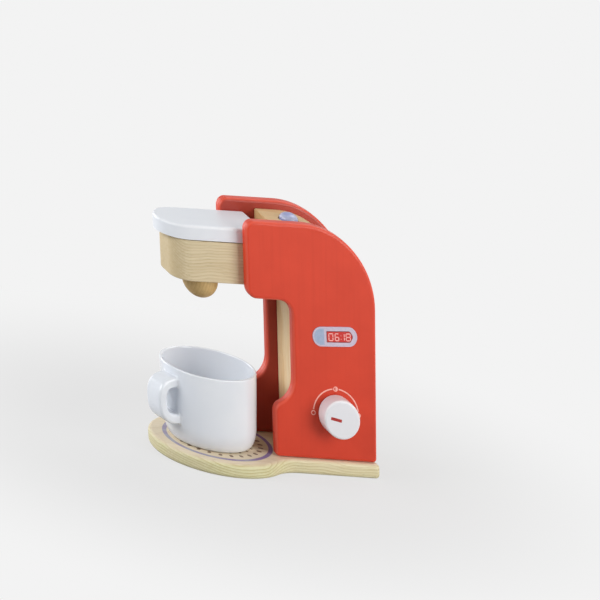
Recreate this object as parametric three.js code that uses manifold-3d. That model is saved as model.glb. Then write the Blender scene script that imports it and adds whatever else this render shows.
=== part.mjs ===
// Toy coffee maker of painted and plain wood, with a loose cup, in millimetres.
// +Z is up. The cup stands at the front, towards -Y, and the knob is on the +X side.
// The origin lies on the underside of the base board, at the centre of its round front end.

import * as THREE from "three";
import { mergeVertices } from "three/addons/utils/BufferGeometryUtils.js";
import Module from "manifold-3d";

const wasm = await Module();
wasm.setup();

// Clearances
const seatGap = 0.3; // between faces that are glued, screwed or resting
const drillGap = 0.2; // round a dowel or a screw in its drilled hole
const turningGap = 0.4; // round a pin that turns
const overrun = 2; // how far a cutter passes the face that it cuts
const samePlace = 0.001; // points closer than this are one point

// Base board
const baseThickness = 15;
const discRadius = 75;
const baseMargin = 5; // width left beside each side board
const baseRearMargin = 1.8; // length left behind the side boards
const neckRadius = 45;
const baseCornerRadius = 5;
const baseEdge = 4.2;

// Side boards, seen from the side
const bodyHeight = 250; // from the ground to the top edge
const bodyWidth = 84; // over both side boards
const bodyBack = 167; // from the disc centre to the back edge
const sideThickness = 12;
const sideEdge = 3.5;
const crownRadius = 80;
const noseFront = 23.6;
const noseDepth = 76; // from the top edge down to the underside of the nose
const noseTopRadius = 10;
const noseBottomRadius = 11;
const armpitRadius = 14;
const legFront = 73.5;
const footFront = 51.5;
const footHeight = 53; // from the base board up to the slope of the foot
const footSlope = 11; // rise of that slope
const footToeRadius = 11.5;
const footInstepRadius = 27;
const sideCornerRadius = 4;

// Boards between the sides
const columnInset = 11.3; // set back behind the front edge of the leg
const columnThickness = 15;
const coreInset = 8.2; // set in from the top and back edges of the sides
const rearThickness = 10;
const topBlockInset = 12.5; // behind the lid
const coreEdge = 1;

// Brewing head and spout
const headReach = 74.8; // ahead of the nose of the side boards
const headRise = 9.8; // from the underside of the nose to the underside of the head
const headCornerRadius = 20;
const headEdge = 1;
const headBackRadius = 2;
const wellRadius = 20;
const wellDepth = 12;
const spoutInset = 38.2; // from the head's front to the spout's centre
const spoutRadius = 19.2;
const spoutNeck = 4.2;
const spoutDowelRadius = 5;
const spoutDowelLength = 22;

// Lid
const lidThickness = 14;
const lidDrop = 11.4; // from the top edge of the sides to the top of the lid
const lidGap = 0.8; // over the head
const lidSideGap = 0.6;
const lidOverhang = 9.8; // ahead of the head
const lidSeat = 26.5; // behind the nose of the side boards
const lidEdge = 3;
const lidBackRadius = 4;
const lidNoseFlat = 1; // straight part in the middle of the lid's front
const pivotLift = 0.5; // of the hinge line over the middle of the lid
const hingePinRadius = 2.5;
const hingePinSeat = 7.5; // depth in each side board
const hingePinChamfer = 0.5;

// Knob
const knobRise = 48.5; // from the base board to the knob's centre
const knobThickness = 18;
const knobRadius = 20.2;
const knobEdge = 2;
const knobGap = 0.5;
const axleRadius = 4;
const axleSeat = 12;
const axleEndGap = 0.6;
const knobWasherRadius = 9;
const knobWasherThickness = 1.5;

// Display label
const labelRise = 78.5; // from the knob's centre to the label's centre
const labelLength = 50;
const labelHeight = 19.8;
const labelThickness = 0.5;
const labelGap = 0.1;

// Push button
const buttonInset = 26; // from the front of the top block to the button's centre
const buttonRadius = 9.8;
const buttonBoreGap = 1;
const buttonCollar = 0.6; // straight length above the top block
const buttonDome = 6;
const buttonSocketDepth = 12;
const buttonWasherRadius = 13;
const buttonWasherThickness = 1.2;
const socketGap = 1;
const springWire = 1;
const springTurns = 4.5;
const springRadius = 9.4;

// Wood screws with washers, in the knob's axle and in the button
const panScrewRadius = 1.8;
const panScrewLength = 10;
const panHeadRadius = 4;
const panHeadHeight = 2.4;
const panHeadFlatShare = 0.7; // of the head's radius that is flat on top

// Countersunk screws through the base board
const baseScrewRadius = 1.9;
const baseScrewLength = 34;
const baseScrewHeadRadius = 4;
const baseScrewHeadHeight = 2.6;
const baseScrewSink = 0.6;
const baseScrewFootInset = 20; // from the foot's front to the front screws
const baseScrewRearInset = 16; // from the body's back to the rear screws

// Dowels between the side boards and the boards between them
const dowelRadius = 4;
const dowelLength = 20;
const dowelDepthInSide = 8;
const dowelChamfer = 0.8;
const dowelMargin = 8; // from the block's front or its socket to a dowel's centre
const dowelSpacingShare = 0.25; // of a board's length, from its end to a dowel

// Cup
const cupRimRadius = 51.7;
const cupFootRadius = 49.6;
const cupHeight = 78;
const cupWall = 3;
const cupFloor = 4;
const cupFootDraw = 9.5; // how far the wall draws in at the foot
const cupFootRise = 24; // height over which it does
const cupInnerDraw = 9; // the same on the inside
const cupInnerRise = 21;
const cupFootClearance = 7.6; // to the foot of the side boards
const handleReach = 76.3; // from the cup's axis
const handleWidth = 24;
const handleThickness = 10.5;
const handleHeight = 48.5;
const handleBottom = 21;
const handleRound = 3;
const handleSquareShare = 0.7; // 1 bends the bow round, less makes it squarer
const handleTurn = 17; // from straight ahead towards the knob side

// Facets
const facetError = 0.15; // how far a facet may lie inside its arc
const fineSteps = 24;
const roundSteps = 48;
const smallSteps = 12;
const edgeSteps = 3;
const wireSteps = 3;

// Places worked out from the sizes
const innerHalf = bodyWidth / 2 - sideThickness;
const coreWidth = 2 * (innerHalf - seatGap);
const sideMiddle = bodyWidth / 2 - sideThickness / 2;
const boardBottom = baseThickness + seatGap;
const noseBottom = bodyHeight - noseDepth;
const coreTop = bodyHeight - coreInset;
const coreBack = bodyBack - coreInset;
const crownY = bodyBack - crownRadius;
const crownZ = bodyHeight - crownRadius;
const columnFront = legFront + columnInset;
const columnBack = columnFront + columnThickness;
const lidTop = bodyHeight - lidDrop;
const lidBottom = lidTop - lidThickness;
const headTop = lidBottom - lidGap;
const headBottom = noseBottom + headRise;
const headFront = noseFront - headReach;
const headBack = columnFront - seatGap;
const lidFront = headFront - lidOverhang;
const lidBack = noseFront + lidSeat;
const lidHalf = innerHalf - lidSideGap;
const pivotY = lidBack - lidThickness / 2;
const pivotZ = lidBottom + lidThickness / 2 + pivotLift;
const topBlockFront = lidBack + topBlockInset;
const topBlockBottom = headTop + seatGap;
const spoutY = headFront + spoutInset;
const knobY = (legFront + bodyBack) / 2;
const knobZ = baseThickness + knobRise;
const labelZ = knobZ + labelRise;
const buttonY = topBlockFront + buttonInset;
const socketTop = topBlockBottom + buttonSocketDepth;
const cupY = footFront - cupFootClearance - cupRimRadius;

const paint = (color, roughness, metalness = 0) =>
  new THREE.MeshStandardMaterial({ color, roughness, metalness });

const model = new THREE.Group();

// Adds one named sub-part at its place and returns it.
function add(name, geometry, material, x = 0, y = 0, z = 0, parent = model) {
  geometry.computeVertexNormals();
  const mesh = new THREE.Mesh(geometry, material);
  mesh.name = name;
  mesh.position.set(x, y, z);
  parent.add(mesh);
  return mesh;
}

// Turns a closed geometry into a solid that can be joined and cut.
function solid(geometry) {
  const bare = geometry.clone();
  bare.deleteAttribute("normal");
  bare.deleteAttribute("uv");
  const merged = mergeVertices(bare);
  const mesh = new wasm.Mesh({
    numProp: 3,
    vertProperties: merged.attributes.position.array,
    triVerts: new Uint32Array(merged.index.array),
  });
  return new wasm.Manifold(mesh);
}

// Turns a solid back into a geometry with flat faces.
function geometryOf(body) {
  const mesh = body.getMesh();
  const geometry = new THREE.BufferGeometry();
  geometry.setAttribute("position", new THREE.BufferAttribute(mesh.vertProperties, 3));
  geometry.setIndex(new THREE.BufferAttribute(mesh.triVerts, 1));
  return geometry.toNonIndexed();
}

// Cuts a list of geometries out of a geometry.
function cut(geometry, cutters) {
  let body = solid(geometry);
  for (const cutter of cutters) {
    body = body.subtract(solid(cutter));
  }
  return geometryOf(body);
}

// Points along an arc, close enough together to stay within the facet error.
function arc(centreU, centreV, radius, from, to, clockwise = false) {
  const turn = 2 * Math.PI;
  let sweep = (((to - from) % turn) + turn) % turn;
  if (clockwise) sweep -= turn;
  const step = 2 * Math.acos(1 - Math.min(1, facetError / radius));
  const count = Math.max(2, Math.ceil(Math.abs(sweep) / step));
  const points = [];
  for (let i = 0; i <= count; i += 1) {
    const angle = from + (sweep * i) / count;
    const u = centreU + radius * Math.cos(angle);
    points.push(new THREE.Vector2(u, centreV + radius * Math.sin(angle)));
  }
  return points;
}

// A closed shape through points, without the doubled points where arcs meet.
function outlineOf(points) {
  return new THREE.Shape(points.filter((point, i) => point.distanceTo(points.at(i - 1)) > samePlace));
}

// A closed outline through corners given as [u, v, radius], each corner rounded by its radius.
function roundedOutline(corners) {
  const count = corners.length;
  const points = corners.flatMap(([u, v, radius], i) => {
    const corner = new THREE.Vector2(u, v);
    const before = new THREE.Vector2(...corners[(i + count - 1) % count]).sub(corner).normalize();
    const after = new THREE.Vector2(...corners[(i + 1) % count]).sub(corner).normalize();
    const halfAngle = Math.acos(before.dot(after)) / 2;
    const tangent = radius / Math.tan(halfAngle);
    const centre = before.clone().add(after).normalize();
    centre.multiplyScalar(radius / Math.sin(halfAngle)).add(corner);
    const start = before.clone().multiplyScalar(tangent).add(corner).sub(centre).angle();
    const end = after.clone().multiplyScalar(tangent).add(corner).sub(centre).angle();
    return arc(centre.x, centre.y, radius, start, end, before.cross(after) > 0);
  });
  return outlineOf(points);
}

// A board of the given outline, rounded over at both faces, from zero upwards.
function board(outline, thickness, edge) {
  const geometry = new THREE.ExtrudeGeometry(outline, {
    depth: thickness - 2 * edge,
    steps: 1,
    bevelEnabled: edge > 0,
    bevelThickness: edge,
    bevelSize: edge,
    bevelOffset: -edge,
    bevelSegments: edgeSteps,
  });
  return geometry.translate(0, 0, edge);
}

// The same board standing on edge: its outline is drawn in Y and Z, its thickness lies along X.
const sideways = new THREE.Matrix4().makeBasis(
  new THREE.Vector3(0, 1, 0),
  new THREE.Vector3(0, 0, 1),
  new THREE.Vector3(1, 0, 0),
);
function boardAcross(outline, thickness, edge) {
  const geometry = board(outline, thickness, edge).applyMatrix4(sideways);
  return geometry.translate(-thickness / 2, 0, 0);
}

// A solid of revolution about Z from a profile of [radius, height] points.
function turned(profile, steps) {
  const points = profile.map(([radius, height]) => new THREE.Vector2(radius, height));
  return new THREE.LatheGeometry(points, steps).rotateX(Math.PI / 2);
}

// A round rod about Z, from zero up to its length, with a small chamfer at both ends.
function rod(radius, length, chamfer, steps) {
  return turned(
    [
      [0, 0],
      [radius - chamfer, 0],
      [radius, chamfer],
      [radius, length - chamfer],
      [radius - chamfer, length],
      [0, length],
    ],
    steps,
  );
}

// A plain round cutter about Z, from zero up to its length.
function drill(radius, length, steps = smallSteps) {
  return new THREE.CylinderGeometry(radius, radius, length, steps)
    .rotateX(Math.PI / 2)
    .translate(0, 0, length / 2);
}

// Lays a geometry that stands on Z along +X.
function alongX(geometry) {
  return geometry.rotateY(Math.PI / 2);
}

// Dowel places, in Y and Z, in the four boards that the sides hold.
const headMiddleZ = (headBottom + headTop) / 2;
const topBlockMiddleZ = (topBlockBottom + coreTop) / 2;
const headDowelStep = (headBack - noseFront) * dowelSpacingShare;
const columnDowelStep = (headTop - boardBottom) * dowelSpacingShare;
const dowelPlaces = [
  [noseFront + headDowelStep, headMiddleZ],
  [headBack - headDowelStep, headMiddleZ],
  [columnFront + columnThickness / 2, boardBottom + columnDowelStep],
  [columnFront + columnThickness / 2, headTop - columnDowelStep],
  [coreBack - rearThickness / 2, boardBottom + columnDowelStep],
  [coreBack - rearThickness / 2, crownZ - columnDowelStep / 2],
  [topBlockFront + dowelMargin, topBlockMiddleZ],
  [buttonY + buttonWasherRadius + dowelMargin, topBlockMiddleZ],
];

// Cutters for the dowels, from the inner face of a side into the middle boards.
function dowelHoles() {
  const depth = dowelLength - dowelDepthInSide + drillGap;
  return dowelPlaces.flatMap(([y, z]) => [
    alongX(drill(dowelRadius + drillGap, depth + overrun)).translate(innerHalf - depth, y, z),
    alongX(drill(dowelRadius + drillGap, depth + overrun)).translate(-innerHalf - overrun, y, z),
  ]);
}

// Screw places through the base board: two for each side, one for each board between them.
const baseScrewPlaces = [
  [sideMiddle, footFront + baseScrewFootInset],
  [sideMiddle, bodyBack - baseScrewRearInset],
  [-sideMiddle, footFront + baseScrewFootInset],
  [-sideMiddle, bodyBack - baseScrewRearInset],
  [0, columnFront + columnThickness / 2],
  [0, coreBack - rearThickness / 2],
];

function baseScrew() {
  return turned(
    [
      [0, 0],
      [baseScrewHeadRadius, 0],
      [baseScrewRadius, baseScrewHeadHeight],
      [baseScrewRadius, baseScrewLength - baseScrewRadius],
      [0, baseScrewLength],
    ],
    smallSteps,
  );
}

function baseScrewHoles() {
  const clear = baseScrewRadius + drillGap;
  const headClear = baseScrewHeadRadius + drillGap;
  return baseScrewPlaces.map(([x, y]) =>
    turned(
      [
        [0, -overrun],
        [headClear, -overrun],
        [headClear, baseScrewSink],
        [clear, baseScrewSink + baseScrewHeadHeight],
        [clear, baseThickness + overrun],
        [0, baseThickness + overrun],
      ],
      smallSteps,
    ).translate(x, y, 0),
  );
}

// Blind pilot holes above the base board, for what the screws hold.
function pilotHoles() {
  const depth = baseScrewSink + baseScrewLength - baseThickness + drillGap;
  return baseScrewPlaces.map(([x, y]) =>
    drill(baseScrewRadius + drillGap, depth + overrun).translate(x, y, baseThickness - overrun),
  );
}

// Base board: a round tray that runs into the straight part under the body.
function baseBoard() {
  const half = bodyWidth / 2 + baseMargin;
  const back = bodyBack + baseRearMargin;
  const neckX = half + neckRadius;
  const neckY = Math.sqrt((discRadius + neckRadius) ** 2 - neckX ** 2);
  const discAngle = Math.atan2(neckY, neckX);
  const corner = baseCornerRadius;
  const outline = outlineOf([
    ...arc(neckX, neckY, neckRadius, Math.PI, Math.PI + discAngle),
    ...arc(0, 0, discRadius, discAngle, Math.PI - discAngle, true),
    ...arc(-neckX, neckY, neckRadius, -discAngle, 0),
    ...arc(corner - half, back - corner, corner, Math.PI, Math.PI / 2, true),
    ...arc(half - corner, back - corner, corner, Math.PI / 2, 0, true),
  ]);
  return cut(board(outline, baseThickness, baseEdge), baseScrewHoles());
}

// Outline of a side board, in Y and Z.
function sideOutline() {
  const toeZ = baseThickness + footHeight;
  return roundedOutline([
    [footFront, boardBottom, sideCornerRadius],
    [bodyBack, boardBottom, sideCornerRadius],
    [bodyBack, bodyHeight, crownRadius],
    [noseFront, bodyHeight, noseTopRadius],
    [noseFront, noseBottom, noseBottomRadius],
    [legFront, noseBottom, armpitRadius],
    [legFront, toeZ + footSlope, footInstepRadius],
    [footFront, toeZ, footToeRadius],
  ]);
}

// Side board centred on its thickness, with the drillings that face the middle of the body.
function sideBoard(sign) {
  const bare = boardAcross(sideOutline(), sideThickness, sideEdge);
  const face = sign * sideThickness / -2; // the inner face
  const inward = (geometry, depth) =>
    geometry.translate(sign > 0 ? face - overrun : face - depth, 0, 0);
  const cutters = dowelPlaces.map(([y, z]) => {
    const depth = dowelDepthInSide + drillGap;
    return inward(alongX(drill(dowelRadius + drillGap, depth + overrun)), depth).translate(0, y, z);
  });
  const pinDepth = hingePinSeat + drillGap;
  cutters.push(
    inward(alongX(drill(hingePinRadius + drillGap, pinDepth + overrun)), pinDepth)
      .translate(0, pivotY, pivotZ),
  );
  for (const hole of pilotHoles()) {
    cutters.push(hole.translate(-sign * sideMiddle, 0, 0));
  }
  if (sign > 0) {
    cutters.push(
      alongX(drill(axleRadius + turningGap, sideThickness + 2 * overrun))
        .translate(face - overrun, knobY, knobZ),
    );
  }
  return cut(bare, cutters);
}

// Upright board behind the cup, seen between the legs.
function columnBoard() {
  const height = headTop - boardBottom;
  const outline = roundedOutline([
    [-coreWidth / 2, columnFront, coreEdge],
    [coreWidth / 2, columnFront, coreEdge],
    [coreWidth / 2, columnBack, coreEdge],
    [-coreWidth / 2, columnBack, coreEdge],
  ]);
  const bare = board(outline, height, 0).translate(0, 0, boardBottom);
  return cut(bare, [...dowelHoles(), ...pilotHoles()]);
}

// Curved board that closes the back between the sides and follows their crown.
function rearBoard() {
  const outer = crownRadius - coreInset;
  const inner = outer - rearThickness;
  const top = topBlockBottom - seatGap;
  const outerAngle = Math.asin((top - crownZ) / outer);
  const innerAngle = Math.asin((top - crownZ) / inner);
  const outline = outlineOf([
    new THREE.Vector2(coreBack - rearThickness, boardBottom),
    new THREE.Vector2(coreBack, boardBottom),
    ...arc(crownY, crownZ, outer, 0, outerAngle),
    ...arc(crownY, crownZ, inner, innerAngle, 0, true),
  ]);
  const bare = boardAcross(outline, coreWidth, 0);
  return cut(bare, [...dowelHoles(), ...pilotHoles()]);
}

// Block that closes the top behind the lid and holds the push button.
function topBlock() {
  const outer = crownRadius - coreInset;
  const bottomAngle = Math.asin((topBlockBottom - crownZ) / outer);
  const outline = outlineOf([
    new THREE.Vector2(topBlockFront, topBlockBottom),
    ...arc(crownY, crownZ, outer, bottomAngle, Math.PI / 2),
    ...arc(topBlockFront + coreEdge, coreTop - coreEdge, coreEdge, Math.PI / 2, Math.PI),
  ]);
  const bare = boardAcross(outline, coreWidth, 0);
  const bore = drill(buttonRadius + buttonBoreGap, coreTop, fineSteps).translate(0, buttonY, overrun);
  const socketHeight = buttonSocketDepth + overrun;
  const socket = drill(buttonWasherRadius + socketGap, socketHeight, fineSteps)
    .translate(0, buttonY, topBlockBottom - overrun);
  return cut(bare, [...dowelHoles(), bore, socket]);
}

// Block held by the noses of the sides, with a round well under the lid.
function brewHead() {
  const half = coreWidth / 2;
  const outline = roundedOutline([
    [-half, headFront, headCornerRadius],
    [half, headFront, headCornerRadius],
    [half, headBack, headBackRadius],
    [-half, headBack, headBackRadius],
  ]);
  const height = headTop - headBottom;
  const bare = board(outline, height, headEdge).translate(0, 0, headBottom);
  const well = drill(wellRadius, wellDepth + overrun, fineSteps)
    .translate(0, spoutY, headTop - wellDepth);
  const dowelHole = drill(spoutDowelRadius + drillGap, spoutDowelLength / 2 + drillGap + overrun)
    .translate(0, spoutY, headBottom - overrun);
  return cut(bare, [...dowelHoles(), well, dowelHole]);
}

// Half ball under the head, with a blind hole for its dowel.
function spout() {
  const profile = [[0, 0]];
  for (let i = smallSteps / 2; i >= 0; i -= 1) {
    const angle = (i / (smallSteps / 2)) * Math.PI / 2;
    profile.push([spoutRadius * Math.sin(angle), -spoutRadius * Math.cos(angle)]);
  }
  profile.shift();
  profile.reverse();
  profile.push([spoutRadius, spoutNeck]);
  profile.push([0, spoutNeck]);
  const depth = spoutDowelLength / 2 + drillGap;
  const hole = drill(spoutDowelRadius + drillGap, depth + overrun)
    .translate(0, 0, spoutNeck - depth);
  return cut(turned(profile, fineSteps + smallSteps / 2), [hole]);
}

// Lid with a half-round front and a rounded rear that turns about the hinge pin.
// Its side view trims a thicker slab, so that the edge over the head stays crisp.
function lid() {
  const plan = roundedOutline([
    [-lidHalf, lidFront, lidHalf - lidNoseFlat / 2],
    [lidHalf, lidFront, lidHalf - lidNoseFlat / 2],
    [lidHalf, lidBack, lidBackRadius],
    [-lidHalf, lidBack, lidBackRadius],
  ]);
  const slabHeight = lidThickness + lidEdge + overrun;
  const slab = board(plan, slabHeight, lidEdge).translate(0, 0, lidTop - slabHeight);
  const heel = lidThickness / 2;
  const sideFront = lidFront - overrun - coreEdge;
  const side = roundedOutline([
    [sideFront, lidBottom, coreEdge],
    [lidBack, lidBottom, heel],
    [lidBack, lidTop, lidEdge],
    [sideFront, lidTop, coreEdge],
  ]);
  const profile = solid(boardAcross(side, 2 * innerHalf, 0));
  const bore = alongX(drill(hingePinRadius + turningGap, 2 * innerHalf))
    .translate(-innerHalf, pivotY, pivotZ);
  const shaped = solid(slab).intersect(profile).subtract(solid(bore));
  return geometryOf(shaped);
}

// Outline of the knob, a plain round disc.
function knobOutline() {
  const points = [];
  for (let i = 0; i < roundSteps; i += 1) {
    const angle = (i / roundSteps) * 2 * Math.PI;
    points.push(new THREE.Vector2(knobRadius * Math.cos(angle), knobRadius * Math.sin(angle)));
  }
  return new THREE.Shape(points);
}

function knob() {
  const bare = board(knobOutline(), knobThickness, knobEdge).applyMatrix4(sideways);
  const bore = alongX(drill(axleRadius + drillGap, axleSeat + drillGap + overrun))
    .translate(-overrun, 0, 0);
  return cut(bare, [bore]);
}

// A pan-head screw that points along +Z, with the underside of its head at zero.
function panScrew() {
  return turned(
    [
      [0, -panHeadHeight],
      [panHeadRadius * panHeadFlatShare, -panHeadHeight],
      [panHeadRadius, -panHeadHeight / 2],
      [panHeadRadius, 0],
      [panScrewRadius, 0],
      [panScrewRadius, panScrewLength - panScrewRadius],
      [0, panScrewLength],
    ],
    smallSteps,
  );
}

// A flat washer from zero up to its thickness, with a hole for a pan-head screw.
function washer(radius, thickness) {
  const hole = panScrewRadius + drillGap;
  return turned(
    [
      [hole, 0],
      [radius, 0],
      [radius, thickness],
      [hole, thickness],
      [hole, 0],
    ],
    fineSteps,
  );
}

// A dowel that carries the knob, drilled at its inner end for the screw.
function knobAxle() {
  const length = axleEndGap + sideThickness + knobGap + axleSeat;
  const pilot = drill(panScrewRadius + drillGap, panScrewLength + overrun)
    .translate(0, 0, -overrun);
  return alongX(cut(rod(axleRadius, length, dowelChamfer, smallSteps), [pilot]));
}

// The button: a straight shank with a domed top, drilled from below for its screw.
function pushButton() {
  const shank = coreTop + buttonCollar - socketTop;
  const profile = [
    [0, 0],
    [buttonRadius, 0],
  ];
  for (let i = 0; i <= smallSteps / 2; i += 1) {
    const angle = (i / (smallSteps / 2)) * Math.PI / 2;
    profile.push([buttonRadius * Math.cos(angle), shank + buttonDome * Math.sin(angle)]);
  }
  const pilot = drill(panScrewRadius + drillGap, panScrewLength + overrun)
    .translate(0, 0, -overrun);
  return cut(turned(profile, fineSteps), [pilot]);
}

// Compression spring under the button's washer, one round wire along a helix.
class Helix extends THREE.Curve {
  constructor(radius, height, turns) {
    super();
    Object.assign(this, { radius, height, turns });
  }

  getPoint(t, target = new THREE.Vector3()) {
    const angle = 2 * Math.PI * this.turns * t;
    return target.set(this.radius * Math.cos(angle), this.radius * Math.sin(angle), this.height * t);
  }
}

function buttonSpring(height) {
  const wire = new THREE.Shape().absarc(0, 0, springWire / 2, 0, 2 * Math.PI, false);
  const geometry = new THREE.ExtrudeGeometry(wire, {
    steps: Math.round(springTurns * smallSteps),
    curveSegments: wireSteps,
    bevelEnabled: false,
    extrudePath: new Helix(springRadius, height - springWire, springTurns),
  });
  return geometry.translate(0, 0, springWire / 2);
}

// Cup wall: a turned shell with a round rim, whose wall draws in to the foot on a quarter ellipse.
function cupShell() {
  const rim = cupWall / 2;
  const outerAt = (z) => cupFootRadius + (cupRimRadius - cupFootRadius) * (z / cupHeight);
  const quarter = Math.PI / 2;
  const innerZ = cupFloor + cupInnerRise;
  const innerR = outerAt(innerZ) - cupWall;
  const foot = arc(0, 0, cupFootRise, -quarter, 0);
  const inner = arc(0, 0, cupInnerRise, 0, -quarter, true);
  const drawn = (points, rise, draw, outer, z) =>
    points.map((point) => new THREE.Vector2(outer - draw + (point.x * draw) / rise, z + point.y));
  const profile = [
    ...drawn(foot, cupFootRise, cupFootDraw, outerAt(cupFootRise), cupFootRise),
    ...arc(cupRimRadius - rim, cupHeight - rim, rim, 0, 2 * quarter),
    ...drawn(inner, cupInnerRise, cupInnerDraw, innerR, innerZ),
  ].map((point) => [point.x, point.y]);
  return turned([[0, 0], ...profile, [0, cupFloor]], roundSteps);
}

// Cup handle: a thick strap bent into an ear, square at the wall and round at the far side.
function cupHandle() {
  const half = (handleHeight - handleThickness) / 2;
  const root = cupFootRadius - cupWall;
  const reach = handleReach - handleThickness / 2 - root;
  const middle = handleBottom + handleHeight / 2;
  const points = [];
  for (let i = 0; i <= fineSteps; i += 1) {
    const angle = Math.PI / 2 - (Math.PI * i) / fineSteps;
    const out = Math.abs(Math.cos(angle)) ** handleSquareShare;
    const up = Math.sign(Math.sin(angle)) * Math.abs(Math.sin(angle)) ** handleSquareShare;
    points.push(new THREE.Vector3(root + reach * out, 0, middle + half * up));
  }
  const section = roundedOutline([
    [-handleWidth / 2, -handleThickness / 2, handleRound],
    [handleWidth / 2, -handleThickness / 2, handleRound],
    [handleWidth / 2, handleThickness / 2, handleRound],
    [-handleWidth / 2, handleThickness / 2, handleRound],
  ]);
  return new THREE.ExtrudeGeometry(section, {
    steps: fineSteps,
    bevelEnabled: false,
    extrudePath: new THREE.CatmullRomCurve3(points),
  });
}

// The cup: wall and handle in one piece, with nothing of the handle left inside the wall.
function cup() {
  const inside = turned(
    [
      [0, cupFloor / 2],
      [cupFootRadius - cupWall / 2, cupFloor / 2],
      [cupRimRadius - cupWall / 2, cupHeight + overrun],
      [0, cupHeight + overrun],
    ],
    roundSteps,
  );
  const turn = THREE.MathUtils.degToRad(handleTurn) - Math.PI / 2;
  const ear = solid(cupHandle().rotateZ(turn)).subtract(solid(inside));
  return geometryOf(solid(cupShell()).add(ear));
}

const red = paint(0xd24a32, 0.42);
const paleWood = paint(0xe0d3a6, 0.6);
const tanWood = paint(0xc9b48f, 0.6);
const goldWood = paint(0xd9bf86, 0.6);
const white = paint(0xe4e8ec, 0.35);
const steel = paint(0xb5b8bb, 0.35, 0.9);
const birch = paint(0xdbc79a, 0.7);

add("base_board", baseBoard(), paleWood);
add("right_side_board", sideBoard(1), red.clone(), sideMiddle);
add("left_side_board", sideBoard(-1), red.clone(), -sideMiddle);
add("column_board", columnBoard(), goldWood);
add("rear_board", rearBoard(), goldWood.clone());
add("top_block", topBlock(), goldWood.clone());
add("brew_head", brewHead(), tanWood);

const spoutTop = headBottom - seatGap;
add("spout", spout(), tanWood.clone(), 0, spoutY, spoutTop - spoutNeck);
add(
  "spout_dowel",
  rod(spoutDowelRadius, spoutDowelLength, dowelChamfer, smallSteps),
  birch.clone(),
  0,
  spoutY,
  headBottom - seatGap / 2 - spoutDowelLength / 2,
);

add("lid", lid(), white.clone());
add(
  "lid_hinge_pin",
  alongX(rod(hingePinRadius, 2 * (innerHalf + hingePinSeat), hingePinChamfer, smallSteps)),
  steel.clone(),
  -innerHalf - hingePinSeat,
  pivotY,
  pivotZ,
);

// The knob and what turns with it, about its own axis.
const knobGroup = new THREE.Group();
knobGroup.position.set(bodyWidth / 2 + knobGap, knobY, knobZ);
model.add(knobGroup);
const axleEnd = -knobGap - sideThickness - axleEndGap;
const knobWasherFace = axleEnd - seatGap - knobWasherThickness;
add("knob", knob(), white.clone(), 0, 0, 0, knobGroup);
add("knob_axle", knobAxle(), birch.clone(), axleEnd, 0, 0, knobGroup);
add(
  "knob_washer",
  alongX(washer(knobWasherRadius, knobWasherThickness)),
  steel.clone(),
  knobWasherFace,
  0,
  0,
  knobGroup,
);
add("knob_screw", alongX(panScrew()), steel.clone(), knobWasherFace - seatGap, 0, 0, knobGroup);

// The display label on the knob side.
const labelRound = labelHeight / 2 - labelGap;
const labelOutline = roundedOutline([
  [-labelLength / 2, -labelHeight / 2, labelRound],
  [labelLength / 2, -labelHeight / 2, labelRound],
  [labelLength / 2, labelHeight / 2, labelRound],
  [-labelLength / 2, labelHeight / 2, labelRound],
]);
add(
  "display_label",
  boardAcross(labelOutline, labelThickness, 0),
  paint(0xb9bfd2, 0.4),
  bodyWidth / 2 + labelGap + labelThickness / 2,
  knobY,
  labelZ,
);

// The push button and its retaining washer, screw and spring.
const buttonGroup = new THREE.Group();
buttonGroup.position.set(0, buttonY, socketTop);
model.add(buttonGroup);
const buttonWasherFace = -seatGap - buttonWasherThickness;
const springFloor = topBlockBottom - socketTop;
add("push_button", pushButton(), paint(0x9aa3c0, 0.3, 0.5), 0, 0, 0, buttonGroup);
add(
  "button_washer",
  washer(buttonWasherRadius, buttonWasherThickness),
  steel.clone(),
  0,
  0,
  buttonWasherFace,
  buttonGroup,
);
add("button_screw", panScrew(), steel.clone(), 0, 0, buttonWasherFace - seatGap, buttonGroup);
add(
  "button_spring",
  buttonSpring(buttonWasherFace - seatGap - springFloor),
  steel.clone(),
  0,
  0,
  springFloor,
  buttonGroup,
);

baseScrewPlaces.forEach(([x, y], i) => {
  add("base_screw_" + (i + 1), baseScrew(), steel.clone(), x, y, baseScrewSink);
});

for (const sign of [1, -1]) {
  const start = sign > 0 ? innerHalf + dowelDepthInSide - dowelLength : -innerHalf - dowelDepthInSide;
  const side = sign > 0 ? "right" : "left";
  dowelPlaces.forEach(([y, z], i) => {
    const dowel = alongX(rod(dowelRadius, dowelLength, dowelChamfer, smallSteps));
    add(side + "_dowel_" + (i + 1), dowel, birch.clone(), start, y, z);
  });
}

add("cup", cup(), white.clone(), 0, cupY, baseThickness + seatGap);

export default model;
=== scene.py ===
# %% [markdown]
# # A toy coffee maker of painted and plain wood
# The real toy is a small kitchen appliance made of wooden boards: two orange-red side boards hold a brewing
# head, a column and a rear board between them, a white lid swings over the head, and a white cup stands on a
# round-fronted base. The solids that move are already packed, so this lesson dresses them: it builds each
# visible piece again with finer edges, gives it a finish made of shader nodes, and lights it softly.

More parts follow.
